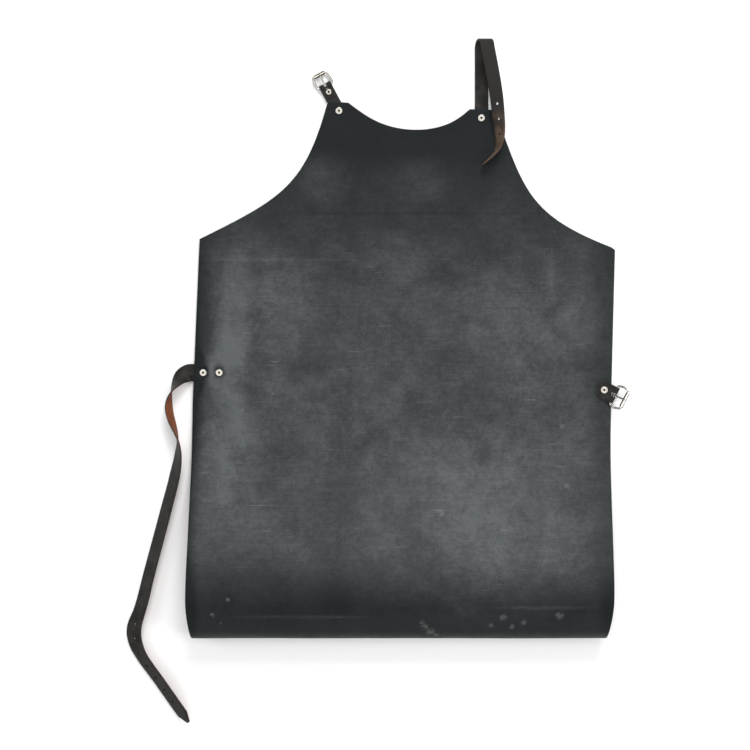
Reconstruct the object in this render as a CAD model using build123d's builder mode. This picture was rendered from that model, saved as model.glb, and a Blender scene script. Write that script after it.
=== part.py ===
"""Welding apron: a black leather bib apron with a riveted neck strap, a riveted waist strap
and two roller buckles, lying face up with its bottom hem curled under.

Frame: X runs across the apron towards the waist buckle, Y from the hem to the bib, and Z up off
the floor that the apron lies on. The origin is on the floor, under the middle of the whole object.
All lengths are in millimetres and all angles in degrees.
"""

import os
from math import asin, atan2, cos, degrees, hypot, radians, sin, tan

from build123d import *

os.makedirs("parts", exist_ok=True)

# ---- Leather -----------------------------------------------------------------------------------
PANEL_THICK = 2.4
PANEL_REST = 3.7  # underside of the flat part, lifted by the strap ends beneath it
PANEL_TOP = PANEL_REST + PANEL_THICK
PANEL_LENGTH = 914.0  # 36 in, measured along the leather
NECK_WIDTH, NECK_THICK = 19.6, 2.4
WAIST_WIDTH, WAIST_THICK = 25.4, 2.5
NECK_TAB_WIDTH, WAIST_TAB_WIDTH = 18.4, 24.4
TAB_THICK = 2.1
HOLE_RADIUS = 1.9

# ---- Plan outline of the panel -----------------------------------------------------------------
HEM_LEFT, HEM_RIGHT = (-276.0, -400.0), (333.5, -400.0)
WAIST_LEFT, WAIST_RIGHT = (-270.5, -30.0), (338.2, -30.0)
SHOULDER_LEFT, SHOULDER_RIGHT = (-260.5, 208.0), (344.0, 194.0)
BIB_LEFT_OUTER, BIB_LEFT_INNER = (-74.0, 408.0), (-43.8, 406.4)
BIB_RIGHT_INNER, BIB_RIGHT_OUTER = (132.8, 397.0), (168.3, 396.0)
NECKLINE = ((-7.0, 381.5), (54.8, 367.0), (113.0, 381.8))
ARMHOLE_LEFT = ((-107.5, 284.5), (-139.8, 267.8))  # curve handles, from bib to shoulder
ARMHOLE_RIGHT = ((212.3, 284.1), (211.2, 243.8))
CORNER_RADIUS = 4.0

# ---- Side profile of the panel, from the bib down ----------------------------------------------
RISE_START_Y = -75.0
RISE_RADIUS, RISE_ANGLE = 200.0, 20.0
RAMP_LENGTH = 135.7
CREST_RADIUS = 110.0
SHOULDER_ROLL_RADIUS, SHOULDER_ROLL_ANGLE = 80.0, 35.0
FRONT_ROLL_RADIUS = 34.0

# ---- Rivets ------------------------------------------------------------------------------------
SHANK_RADIUS, POCKET_RADIUS, POCKET_DEPTH = 2.0, 1.1, 2.2
WASHER_RADIUS, WASHER_THICK = 4.6, 0.7
CAP_RADIUS, SMALL_CAP_RADIUS, CAP_HEIGHT, CAP_ROUND = 5.3, 4.3, 1.6, 0.75
GAP = 0.3  # between faces that slide past each other
SWIVEL_CLEARANCE = 0.08

NECK_STRAP_RIVET = (149.6, 384.0)
NECK_TAB_RIVET = (-57.7, 394.5)
WAIST_STRAP_INNER_RIVET = (-231.9, 13.6)
WAIST_STRAP_OUTER_RIVET = (-255.2, 13.6)
WAIST_TAB_RIVET = (327.6, -11.5)

# ---- Strap paths -------------------------------------------------------------------------------
NECK_STRAP_X = 150.1
NECK_ROOT_END_Y = 372.0
NECK_LOOP_START_Y, NECK_LOOP_RADIUS = 487.0, 9.0
NECK_FLOAT = WASHER_THICK + GAP  # underside of whatever turns on a rivet below the panel
WAIST_ROOT_END_X, WAIST_ROOT_OUT_X = -218.0, -275.0
WAIST_FLOAT = PANEL_REST - WAIST_THICK

# Each station: centre of the strap's width, height of the centre, and roll out of the flat.
NECK_UPPER_STATIONS = (
    (157.4, 487.0, 22.6, 0.0),
    (160.6, 470.0, 24.0, 4.0),
    (164.6, 448.0, 24.8, 8.0),
    (170.2, 413.3, 25.0, 18.0),
    (174.0, 378.7, 22.5, 34.0),
    (175.6, 354.0, 19.4, 56.0),
    (171.5, 336.0, 17.6, 78.0),
    (162.5, 325.4, 17.4, 86.0),
    (154.5, 318.0, 17.4, 87.0),
)
WAIST_STATIONS = (
    (-275.3, 13.6, 0.0),
    (-285.0, 9.0, 24.0),
    (-293.5, -0.5, 56.0),
    (-301.0, -15.0, 88.0),
    (-304.5, -34.0, 108.0),
    (-299.0, -60.0, 104.0),
    (-291.8, -82.0, 86.0),
    (-290.6, -102.0, 66.0),
    (-294.5, -130.0, 52.0),
    (-307.0, -180.0, 49.0),
    (-321.0, -233.0, 48.0),
    (-335.0, -286.0, 47.0),
    (-349.0, -338.0, 44.0),
    (-355.5, -360.0, 28.0),
    (-353.0, -379.0, 34.0),
    (-344.0, -398.0, 46.0),
    (-324.0, -426.3, 48.0),
    (-304.0, -454.5, 48.0),
    (-284.0, -482.8, 48.0),
)
TIP_LENGTH = 14.0
FLOOR_CLEARANCE = 0.6  # room for the smooth path to dip between stations

# ---- Buckles: bar along local Y at the local origin, roller on local +X -------------------------
WIRE_RADIUS = 1.5
BEND_RADIUS = 2.5
RUNNING = 0.1
ROLLER_RADIUS, ROLLER_SEAM = 2.6, 0.35
PRONG_RADIUS, PRONG_WRAP, PRONG_OVERHANG = 1.1, 230.0, 2.6
SLOT_HALF_WIDTH = 2.1
FOLD_RADIUS = WIRE_RADIUS + RUNNING

NECK_TAB_YAW = 118.5
NECK_RIVET_PITCH, NECK_RIVET_TO_BAR, NECK_TAB_BEYOND = 31.2, 10.2, 9.0
NECK_FRAME_HALF, NECK_FRAME_BOW, NECK_ROLLER_HALF = 11.9, 11.9, 10.9
NECK_FRAME_LENGTH, NECK_FRAME_TILT = 18.3, 0.0
NECK_BAR_Z = NECK_FLOAT + TAB_THICK + FOLD_RADIUS

WAIST_TAB_YAW = -27.0
WAIST_RIVET_TO_BAR, WAIST_TAB_BEYOND = 16.0, 8.6
WAIST_FRAME_HALF, WAIST_FRAME_BOW, WAIST_ROLLER_HALF = 14.6, 16.6, 14.2
WAIST_FRAME_LENGTH, WAIST_FRAME_TILT = 17.6, 26.0
WAIST_TAB_FLOAT = PANEL_TOP + 0.5  # lets the prong's wrap clear the panel when the tab turns
WAIST_BAR_Z = WAIST_TAB_FLOAT + TAB_THICK + FOLD_RADIUS
SLOT_BACK = 5.2
PLY_GAP = 0.1


def ahead(start, yaw, distance):
    """Plan point at a distance from start in the yaw direction."""
    return (start[0] + distance * cos(radians(yaw)), start[1] + distance * sin(radians(yaw)))


NECK_FOLD_RIVET = ahead(NECK_TAB_RIVET, NECK_TAB_YAW, NECK_RIVET_PITCH)
NECK_BAR = ahead(NECK_FOLD_RIVET, NECK_TAB_YAW, NECK_RIVET_TO_BAR)
WAIST_BAR = ahead(WAIST_TAB_RIVET, WAIST_TAB_YAW, WAIST_RIVET_TO_BAR)
PANEL_RIVETS = (
    NECK_STRAP_RIVET,
    NECK_TAB_RIVET,
    WAIST_STRAP_INNER_RIVET,
    WAIST_STRAP_OUTER_RIVET,
    WAIST_TAB_RIVET,
)


# ---- Apron panel -------------------------------------------------------------------------------
def profile_run(start, heading, length):
    """Straight stretch of the side profile."""
    return PolarLine(start=start, length=length, direction=heading)


with BuildPart() as apron_panel:
    with BuildSketch(Plane.YZ) as panel_profile:
        with BuildLine() as grain_side:
            flat = Line((BIB_LEFT_OUTER[1], PANEL_TOP), (RISE_START_Y, PANEL_TOP))
            rise = JernArc(flat @ 1, flat % 1, RISE_RADIUS, -RISE_ANGLE)
            ramp = profile_run(rise @ 1, rise % 1, RAMP_LENGTH)
            crest = JernArc(ramp @ 1, ramp % 1, CREST_RADIUS, RISE_ANGLE)
            shoulder = JernArc(crest @ 1, crest % 1, SHOULDER_ROLL_RADIUS, SHOULDER_ROLL_ANGLE)
            front = JernArc(shoulder @ 1, shoulder % 1, FRONT_ROLL_RADIUS, 90 - SHOULDER_ROLL_ANGLE)
            under = JernArc(front @ 1, front % 1, (front @ 1).Y, 90)
            walked = sum(
                piece.length for piece in (flat, rise, ramp, crest, shoulder, front, under)
            )
            hem = profile_run(under @ 1, under % 1, PANEL_LENGTH - walked)
            offset(amount=PANEL_THICK, side=Side.LEFT)
        make_face()
    extrude(amount=400, both=True)
    with BuildSketch() as panel_outline:
        with BuildLine() as panel_edge:
            Polyline(SHOULDER_LEFT, WAIST_LEFT, HEM_LEFT, HEM_RIGHT, WAIST_RIGHT, SHOULDER_RIGHT)
            Bezier(BIB_RIGHT_OUTER, *ARMHOLE_RIGHT, SHOULDER_RIGHT)
            Line(BIB_RIGHT_OUTER, BIB_RIGHT_INNER)
            Spline(BIB_RIGHT_INNER, *reversed(NECKLINE), BIB_LEFT_INNER)
            Line(BIB_LEFT_INNER, BIB_LEFT_OUTER)
            Bezier(BIB_LEFT_OUTER, *ARMHOLE_LEFT, SHOULDER_LEFT)
        make_face()
        bib_corners = panel_outline.vertices().filter_by(lambda corner: corner.Y > 380)
        fillet(bib_corners, radius=CORNER_RADIUS)
    extrude(amount=150, mode=Mode.INTERSECT)
    with Locations(*[(x, y, PANEL_TOP) for x, y in PANEL_RIVETS]):
        Cylinder(SHANK_RADIUS, 4 * PANEL_THICK, mode=Mode.SUBTRACT)
apron_panel.part.label = "apron_panel"
export_step(apron_panel.part, "parts/apron_panel.step")


# ---- Rivets and their washers ------------------------------------------------------------------
def save_rivet(name, plan, seat, head_face, cap_radius=CAP_RADIUS):
    """Ring-headed rivet whose cap sits on head_face and whose shank ends in a washer at seat."""
    with BuildPart() as rivet:
        with Locations((*plan, seat)):
            Cylinder(
                SHANK_RADIUS,
                head_face - seat,
                align=(Align.CENTER, Align.CENTER, Align.MIN),
            )
        with Locations((*plan, head_face)):
            Cylinder(cap_radius, CAP_HEIGHT, align=(Align.CENTER, Align.CENTER, Align.MIN))
        top_edge = rivet.edges().group_by(Axis.Z)[-1]
        fillet(top_edge, radius=CAP_ROUND)
        with Locations((*plan, head_face + CAP_HEIGHT)):
            Cylinder(
                POCKET_RADIUS,
                POCKET_DEPTH,
                align=(Align.CENTER, Align.CENTER, Align.MAX),
                mode=Mode.SUBTRACT,
            )
        mouth = rivet.edges().group_by(Axis.Z)[-1].filter_by(GeomType.CIRCLE).sort_by(
            SortBy.RADIUS
        )[0]
        chamfer(mouth, length=0.6)
    rivet.part.label = name
    export_step(rivet.part, f"parts/{name}.step")


def save_washer(name, plan, seat):
    """Flat washer that the far end of a rivet is set against."""
    with BuildPart() as washer:
        with Locations((*plan, seat)):
            Cylinder(
                WASHER_RADIUS, WASHER_THICK, align=(Align.CENTER, Align.CENTER, Align.MIN)
            )
            Cylinder(SHANK_RADIUS, 4 * WASHER_THICK, mode=Mode.SUBTRACT)
    washer.part.label = name
    export_step(washer.part, f"parts/{name}.step")


NECK_FOLD_SEAT = NECK_FLOAT - WASHER_THICK
NECK_FOLD_HEAD = NECK_FLOAT + 2 * TAB_THICK + PLY_GAP
WAIST_ROOT_SEAT = WAIST_FLOAT - WASHER_THICK
WAIST_TAB_SEAT = PANEL_REST - WASHER_THICK
WAIST_TAB_HEAD = WAIST_TAB_FLOAT + 2 * TAB_THICK + PLY_GAP + GAP

save_rivet("neck_strap_rivet", NECK_STRAP_RIVET, 0, PANEL_TOP)
save_washer("neck_strap_washer", NECK_STRAP_RIVET, 0)
save_rivet("neck_tab_anchor_rivet", NECK_TAB_RIVET, 0, PANEL_TOP)
save_washer("neck_tab_anchor_washer", NECK_TAB_RIVET, 0)
save_rivet(
    "neck_tab_fold_rivet", NECK_FOLD_RIVET, NECK_FOLD_SEAT, NECK_FOLD_HEAD, SMALL_CAP_RADIUS
)
save_washer("neck_tab_fold_washer", NECK_FOLD_RIVET, NECK_FOLD_SEAT)
save_rivet("waist_strap_inner_rivet", WAIST_STRAP_INNER_RIVET, WAIST_ROOT_SEAT, PANEL_TOP)
save_washer("waist_strap_inner_washer", WAIST_STRAP_INNER_RIVET, WAIST_ROOT_SEAT)
save_rivet("waist_strap_outer_rivet", WAIST_STRAP_OUTER_RIVET, WAIST_ROOT_SEAT, PANEL_TOP)
save_washer("waist_strap_outer_washer", WAIST_STRAP_OUTER_RIVET, WAIST_ROOT_SEAT)
save_rivet("waist_tab_rivet", WAIST_TAB_RIVET, WAIST_TAB_SEAT, WAIST_TAB_HEAD)
save_washer("waist_tab_washer", WAIST_TAB_RIVET, WAIST_TAB_SEAT)


# ---- Straps ------------------------------------------------------------------------------------
def section_plane(centre, tangent, roll):
    """Plane across a strap: local X across its width, local Y out of its broad side."""
    outward = tangent.cross(Vector(0, 0, 1)).normalized()
    width_way = outward * -cos(radians(roll)) + Vector(0, 0, 1) * sin(radians(roll))
    return Plane(origin=centre, x_dir=width_way, z_dir=tangent)


def strap_path(stations):
    """Smooth line through the stations, with where each lies on it and its roll."""
    with BuildLine(mode=Mode.PRIVATE) as line:
        Spline(*[station[:3] for station in stations])
    curve = line.edges()[0]
    marks = [curve.param_at_point(station[:3]) for station in stations]
    return curve, marks, [station[3] for station in stations]


def plane_along(path, at):
    """Section plane of a strap at a fraction of its path."""
    curve, marks, rolls = path
    stretch = max(index for index in range(len(marks) - 1) if marks[index] <= at or index == 0)
    share = (at - marks[stretch]) / (marks[stretch + 1] - marks[stretch])
    roll = rolls[stretch] + share * (rolls[stretch + 1] - rolls[stretch])
    tangent = curve % at
    level = Vector(tangent.X, tangent.Y, 0).normalized()
    return section_plane(curve @ at, level, roll)


def roll_height(roll):
    """Height of the waist strap's centre when its lower edge clears the floor at this roll."""
    half_rise = WAIST_WIDTH / 2 * sin(radians(roll))
    return FLOOR_CLEARANCE + half_rise + WAIST_THICK / 2 * abs(cos(radians(roll)))


NECK_MID_Z = NECK_FLOAT + NECK_THICK / 2
NECK_LOOP_MID = NECK_LOOP_RADIUS + NECK_THICK / 2
NECK_APEX_Z = NECK_MID_Z + NECK_LOOP_MID
NECK_APEX_Y = NECK_LOOP_START_Y + NECK_LOOP_MID


def loop_plane(drift, turn):
    """Section plane of the neck strap partway round its fold, turned from the lower run."""
    centre = (
        NECK_STRAP_X + drift,
        NECK_LOOP_START_Y + NECK_LOOP_MID * sin(radians(turn)),
        NECK_APEX_Z - NECK_LOOP_MID * cos(radians(turn)),
    )
    return Plane(
        origin=centre, x_dir=(1, 0, 0), z_dir=(0, cos(radians(turn)), sin(radians(turn)))
    )


with BuildPart() as neck_strap_lower:
    with BuildSketch(Plane.XY.offset(NECK_FLOAT)) as neck_root:
        with Locations((NECK_STRAP_X, (NECK_ROOT_END_Y + NECK_LOOP_START_Y) / 2)):
            Rectangle(NECK_WIDTH, NECK_LOOP_START_Y - NECK_ROOT_END_Y)
        fillet(neck_root.vertices().group_by(Axis.Y)[0], radius=6)
    extrude(amount=NECK_THICK)
    for drift, turn in ((0.0, 0.0), (0.6, 30.0), (1.6, 60.0), (2.8, 88.0)):
        with BuildSketch(loop_plane(drift, turn)) as neck_section:
            Rectangle(NECK_WIDTH, NECK_THICK)
    loft()
    with Locations((*NECK_STRAP_RIVET, NECK_MID_Z)):
        Cylinder(SHANK_RADIUS + SWIVEL_CLEARANCE, 2 * NECK_THICK, mode=Mode.SUBTRACT)
neck_strap_lower.part.label = "neck_strap_lower"
export_step(neck_strap_lower.part, "parts/neck_strap_lower.step")

neck_path = strap_path(NECK_UPPER_STATIONS)
NECK_STEPS = 20  # sections along the upper run
NECK_HOLES = (0.475, 0.60, 0.725)  # places along the upper run

with BuildPart() as neck_strap_upper:
    neck_planes = [
        loop_plane(drift, turn) for drift, turn in ((3.0, 92.0), (4.2, 122.0), (5.7, 152.0))
    ]
    neck_planes += [plane_along(neck_path, step / NECK_STEPS) for step in range(NECK_STEPS + 1)]
    for plane in neck_planes:
        with BuildSketch(plane) as neck_section:
            Rectangle(NECK_WIDTH, NECK_THICK)
    loft()
    neck_end = neck_planes[-1]
    for plane, width in ((neck_end, NECK_WIDTH), (neck_end.offset(6), NECK_WIDTH - 8)):
        with BuildSketch(plane) as neck_tip:
            Rectangle(width, NECK_THICK)
    loft(ruled=True)
    for at in NECK_HOLES:
        across = plane_along(neck_path, at)
        with Locations(Plane(origin=across.origin, x_dir=across.z_dir, z_dir=across.y_dir)):
            Cylinder(HOLE_RADIUS, 4 * NECK_THICK, mode=Mode.SUBTRACT)
neck_strap_upper.part.label = "neck_strap_upper"
export_step(neck_strap_upper.part, "parts/neck_strap_upper.step")

with BuildPart() as waist_strap_root:
    with BuildSketch(Plane.XY.offset(WAIST_FLOAT)) as waist_root:
        with Locations(((WAIST_ROOT_END_X + WAIST_ROOT_OUT_X) / 2, WAIST_STRAP_OUTER_RIVET[1])):
            Rectangle(WAIST_ROOT_END_X - WAIST_ROOT_OUT_X, WAIST_WIDTH)
        fillet(waist_root.vertices().group_by(Axis.X)[-1], radius=7)
    extrude(amount=WAIST_THICK)
    with Locations(
        (*WAIST_STRAP_INNER_RIVET, WAIST_FLOAT), (*WAIST_STRAP_OUTER_RIVET, WAIST_FLOAT)
    ):
        Cylinder(SHANK_RADIUS, 4 * WAIST_THICK, mode=Mode.SUBTRACT)
waist_strap_root.part.label = "waist_strap_root"
export_step(waist_strap_root.part, "parts/waist_strap_root.step")

WAIST_MID_Z = WAIST_FLOAT + WAIST_THICK / 2
waist_path = strap_path(
    [(x, y, max(roll_height(roll), WAIST_MID_Z), roll) for x, y, roll in WAIST_STATIONS]
)
waist_start = section_plane(waist_path[0] @ 0, Vector(-1, 0, 0), 0)
WAIST_STEPS = 26  # sections along the free strap
HOLE_COUNT, HOLE_FIRST, HOLE_PITCH = 7, 24.0, 21.5  # first hole from the start of the point

with BuildPart() as waist_strap:
    waist_planes = [waist_start]
    waist_planes += [
        plane_along(waist_path, (step + 1) / WAIST_STEPS) for step in range(WAIST_STEPS)
    ]
    for plane in waist_planes:
        with BuildSketch(plane) as waist_section:
            Rectangle(WAIST_WIDTH, WAIST_THICK)
    loft()
    waist_end = waist_planes[-1]
    for plane, width in ((waist_end, WAIST_WIDTH), (waist_end.offset(TIP_LENGTH), 6)):
        with BuildSketch(plane) as waist_tip:
            Rectangle(width, WAIST_THICK)
    loft(ruled=True)
    for number in range(HOLE_COUNT):
        at = 1 - (HOLE_FIRST + number * HOLE_PITCH) / waist_path[0].length
        across = plane_along(waist_path, at)
        with Locations(Plane(origin=across.origin, x_dir=across.z_dir, z_dir=across.y_dir)):
            Cylinder(HOLE_RADIUS, 4 * WAIST_THICK, mode=Mode.SUBTRACT)
waist_strap.part.label = "waist_strap"
export_step(waist_strap.part, "parts/waist_strap.step")


# ---- Buckle tabs -------------------------------------------------------------------------------
def side_plane(bar, bar_z, yaw, tilt=0.0):
    """Plane through a buckle's middle: local X towards the roller, local Y upwards."""
    level = Vector(cos(radians(yaw)), sin(radians(yaw)), 0)
    ahead_way = level * cos(radians(tilt)) + Vector(0, 0, 1) * sin(radians(tilt))
    return Plane(
        origin=(*bar, bar_z), x_dir=ahead_way, z_dir=level.cross(Vector(0, 0, 1))
    )


OUTER_FOLD_RADIUS = FOLD_RADIUS + TAB_THICK


def save_tab(name, middle, half_width, lower_end, upper_end, slope_start, round_end, bores):
    """Strip of leather folded round a buckle bar, with a slot for the prong in the fold."""
    drop = FOLD_RADIUS - PLY_GAP
    rise_angle = degrees(
        asin(FOLD_RADIUS / hypot(slope_start, drop)) + atan2(drop, slope_start)
    )
    with BuildPart() as tab:
        with BuildSketch(middle) as tab_profile:
            with BuildLine() as ply_edges:
                inner = CenterArc((0, 0), FOLD_RADIUS, 90 + rise_angle, -180 - rise_angle)
                outer = CenterArc((0, 0), OUTER_FOLD_RADIUS, 90 + rise_angle, -180 - rise_angle)
                Polyline(
                    inner @ 1,
                    (-lower_end, -FOLD_RADIUS),
                    (-lower_end, -OUTER_FOLD_RADIUS),
                    outer @ 1,
                )
                Polyline(
                    inner @ 0,
                    (-slope_start, -drop),
                    (-upper_end, -drop),
                    (-upper_end, TAB_THICK - drop),
                    (-slope_start - TAB_THICK * tan(radians(rise_angle / 2)), TAB_THICK - drop),
                    outer @ 0,
                )
            make_face()
        extrude(amount=half_width, both=True)
        corners = [
            edge
            for edge in tab.edges().filter_by(Axis.Z)
            if middle.to_local_coords(edge.center()).X < -lower_end + 0.1
            or (round_end and middle.to_local_coords(edge.center()).X < -upper_end + 0.1)
        ]
        fillet(corners, radius=round_end if round_end else 4)
        with Locations(middle):
            with Locations((-SLOT_BACK / 2 + FOLD_RADIUS + TAB_THICK, 0, 0)):
                Box(
                    SLOT_BACK + 2 * (FOLD_RADIUS + TAB_THICK),
                    8 * TAB_THICK,
                    2 * SLOT_HALF_WIDTH,
                    mode=Mode.SUBTRACT,
                )
        for plan, radius in bores:
            with Locations((*plan, 0)):
                Cylinder(radius, 60, mode=Mode.SUBTRACT)
    tab.part.label = name
    export_step(tab.part, f"parts/{name}.step")


def behind(bar, yaw, distance):
    """Plan point on a tab's middle line, a distance back from its buckle bar."""
    return ahead(bar, yaw, -distance)


neck_middle = side_plane(NECK_BAR, NECK_BAR_Z, NECK_TAB_YAW)
save_tab(
    "neck_tab",
    neck_middle,
    half_width=NECK_TAB_WIDTH / 2,
    lower_end=NECK_RIVET_TO_BAR + NECK_RIVET_PITCH + NECK_TAB_WIDTH / 2,
    upper_end=NECK_RIVET_TO_BAR + NECK_TAB_BEYOND,
    slope_start=5.2,
    round_end=0,
    bores=((NECK_TAB_RIVET, SHANK_RADIUS + SWIVEL_CLEARANCE), (NECK_FOLD_RIVET, SHANK_RADIUS)),
)
waist_middle = side_plane(WAIST_BAR, WAIST_BAR_Z, WAIST_TAB_YAW)
save_tab(
    "waist_tab",
    waist_middle,
    half_width=WAIST_TAB_WIDTH / 2,
    lower_end=WAIST_RIVET_TO_BAR + WAIST_TAB_BEYOND,
    upper_end=WAIST_RIVET_TO_BAR + WAIST_TAB_BEYOND,
    slope_start=8.4,
    round_end=7,
    bores=((WAIST_TAB_RIVET, SHANK_RADIUS + SWIVEL_CLEARANCE),),
)


# ---- Buckles -----------------------------------------------------------------------------------
def save_frame(name, middle, half_width, bow, roller_half, length):
    """Bent wire ring: bar at one end, roller carrier at the other, side arms bowed outwards."""
    frame_plane = Plane(origin=middle.origin, x_dir=middle.x_dir, z_dir=middle.y_dir)
    with BuildPart() as frame:
        with BuildLine(frame_plane) as wire_path:
            Polyline(
                (0, 0),
                (0, half_width),
                (length / 2, bow),
                (length, roller_half),
                (length, -roller_half),
                (length / 2, -bow),
                (0, -half_width),
                close=True,
            )
            bends = wire_path.vertices().filter_by(
                lambda corner: (corner.center() - middle.origin).length > 1
            )
            fillet(bends, radius=BEND_RADIUS)
        with BuildSketch(Plane(origin=middle.origin, z_dir=middle.z_dir)) as wire:
            Circle(WIRE_RADIUS)
        sweep()
    frame.part.label = name
    export_step(frame.part, f"parts/{name}.step")


def save_roller(name, middle, half_length, length):
    """Rolled sheet tube that turns on the far side of the frame."""
    across = Plane(
        origin=middle.from_local_coords((length, 0, 0)), x_dir=middle.x_dir, z_dir=middle.z_dir
    )
    with BuildPart() as roller:
        with BuildSketch(across) as ring:
            Circle(ROLLER_RADIUS)
            Circle(WIRE_RADIUS + RUNNING, mode=Mode.SUBTRACT)
            with Locations((0, -ROLLER_RADIUS)):
                Rectangle(ROLLER_SEAM, 2 * ROLLER_RADIUS, mode=Mode.SUBTRACT)
        extrude(amount=half_length, both=True)
    roller.part.label = name
    export_step(roller.part, f"parts/{name}.step")


def save_prong(name, middle, length):
    """Wire prong wrapped round the bar, its shank lying over the roller."""
    wrap_radius = WIRE_RADIUS + RUNNING + PRONG_RADIUS
    over = ROLLER_RADIUS + GAP + PRONG_RADIUS
    slope = degrees(atan2(over, length) - asin(wrap_radius / hypot(over, length)))
    with BuildPart() as prong:
        with BuildLine(middle) as prong_path:
            wrap = CenterArc((0, 0), wrap_radius, 90 + slope + PRONG_WRAP, -PRONG_WRAP)
            PolarLine(start=wrap @ 1, length=length + PRONG_OVERHANG, direction=wrap % 1)
        with BuildSketch(Plane(origin=prong_path.line @ 0, z_dir=prong_path.line % 0)) as wire:
            Circle(PRONG_RADIUS)
        sweep()
        tip = prong.faces().sort_by_distance(prong_path.line @ 1)[0]
        fillet(tip.edges(), radius=0.8 * PRONG_RADIUS)
    prong.part.label = name
    export_step(prong.part, f"parts/{name}.step")


def save_buckle(prefix, middle, half_width, bow, roller_half, length):
    """One buckle: frame, roller and prong."""
    save_frame(f"{prefix}_buckle_frame", middle, half_width, bow, roller_half, length)
    save_roller(f"{prefix}_buckle_roller", middle, roller_half - BEND_RADIUS - GAP, length)
    save_prong(f"{prefix}_buckle_prong", middle, length)


save_buckle(
    "neck",
    side_plane(NECK_BAR, NECK_BAR_Z, NECK_TAB_YAW, NECK_FRAME_TILT),
    NECK_FRAME_HALF,
    NECK_FRAME_BOW,
    NECK_ROLLER_HALF,
    NECK_FRAME_LENGTH,
)
save_buckle(
    "waist",
    side_plane(WAIST_BAR, WAIST_BAR_Z, WAIST_TAB_YAW, WAIST_FRAME_TILT),
    WAIST_FRAME_HALF,
    WAIST_FRAME_BOW,
    WAIST_ROLLER_HALF,
    WAIST_FRAME_LENGTH,
)
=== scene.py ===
"""Looks of the welding apron: leather sheet, straps and buckle tabs built as meshes around the
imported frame, nickel hardware on the frame's own rivets and buckles, floor, lights and camera.

Everything is in metres in the frame's axes: X across the apron, Y from the hem to the bib, Z up.
"""

import math

import bmesh
import bpy
import numpy as np
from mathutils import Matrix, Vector, noise


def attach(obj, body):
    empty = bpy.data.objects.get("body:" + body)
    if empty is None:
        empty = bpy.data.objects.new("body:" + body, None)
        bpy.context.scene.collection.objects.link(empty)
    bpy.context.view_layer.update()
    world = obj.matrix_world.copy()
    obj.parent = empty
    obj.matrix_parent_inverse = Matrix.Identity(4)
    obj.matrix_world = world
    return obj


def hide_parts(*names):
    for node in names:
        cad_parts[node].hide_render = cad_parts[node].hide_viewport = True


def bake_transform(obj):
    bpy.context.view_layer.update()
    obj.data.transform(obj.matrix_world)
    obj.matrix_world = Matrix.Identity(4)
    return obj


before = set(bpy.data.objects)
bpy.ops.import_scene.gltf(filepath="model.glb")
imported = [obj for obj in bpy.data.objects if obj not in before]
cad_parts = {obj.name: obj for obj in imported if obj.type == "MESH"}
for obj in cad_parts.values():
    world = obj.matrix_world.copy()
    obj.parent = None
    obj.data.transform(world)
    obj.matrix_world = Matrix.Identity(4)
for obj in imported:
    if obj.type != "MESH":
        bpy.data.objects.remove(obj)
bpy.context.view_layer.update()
MM = 0.001


# ---- Camera, floor and light -------------------------------------------------------------------
CAMERA_HEIGHT = 2.7
CAMERA_PLAN = (-0.0052, 0.0102)
SEEN_WIDTH = 1.0935  # width of floor that fills the picture
SENSOR = 36.0
FLOOR_SIZE = 9.0


def add_camera():
    """Camera looking straight down, with the bib towards the top of the picture."""
    data = bpy.data.cameras.new("camera")
    data.sensor_width = SENSOR
    data.lens = SENSOR * CAMERA_HEIGHT / SEEN_WIDTH
    data.clip_end = 50
    camera = bpy.data.objects.new("camera", data)
    camera.location = (*CAMERA_PLAN, CAMERA_HEIGHT)
    bpy.context.scene.collection.objects.link(camera)
    bpy.context.scene.camera = camera


def add_area_light(name, place, target, size, power):
    """Soft square light at a place, aimed at a target."""
    data = bpy.data.lights.new(name, "AREA")
    data.size = size
    data.energy = power
    light = bpy.data.objects.new(name, data)
    light.location = place
    aim = Vector(target) - Vector(place)
    light.rotation_euler = aim.to_track_quat("-Z", "Y").to_euler()
    bpy.context.scene.collection.objects.link(light)


def add_stage():
    """Pale floor, even sky and soft studio lights."""
    half = FLOOR_SIZE / 2
    mesh = bpy.data.meshes.new("floor")
    mesh.from_pydata(
        [(-half, -half, 0), (half, -half, 0), (half, half, 0), (-half, half, 0)],
        [],
        [(0, 1, 2, 3)],
    )
    floor = bpy.data.objects.new("floor", mesh)
    floor.location.z = -0.0005
    bpy.context.scene.collection.objects.link(floor)
    paint, tree, shader = new_material("floor_paint")
    shader.inputs["Base Color"].default_value = (0.93, 0.93, 0.93, 1)
    shader.inputs["Roughness"].default_value = 0.9
    shader.inputs["Specular IOR Level"].default_value = 0.1
    mesh.materials.append(paint)

    world = bpy.data.worlds.new("studio")
    world.use_nodes = True
    world.node_tree.nodes["Background"].inputs["Color"].default_value = (1.0, 1.0, 1.0, 1)
    world.node_tree.nodes["Background"].inputs["Strength"].default_value = 0.26
    bpy.context.scene.world = world
    bpy.context.scene.view_settings.view_transform = "Standard"

    add_area_light("overhead", (0, 0, 3.0), (0, 0.001, 0), 2.2, 27)
    add_area_light("key_top", (0.35, 2.5, 2.3), (0, -0.1, 0), 1.5, 80)
    add_area_light("fill_left", (-2.4, 0.2, 1.9), (0, 0, 0), 1.6, 24)
    add_area_light("fill_right", (2.4, -0.4, 2.2), (0, 0, 0), 1.6, 40)
    add_area_light("rim_front", (0.2, -2.8, 1.5), (0, -0.3, 0), 1.4, 22)


# ---- Materials ---------------------------------------------------------------------------------
def new_material(name):
    """Material with a principled shader, and its tree and shader."""
    material = bpy.data.materials.new(name)
    material.use_nodes = True
    tree = material.node_tree
    return material, tree, tree.nodes["Principled BSDF"]


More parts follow.
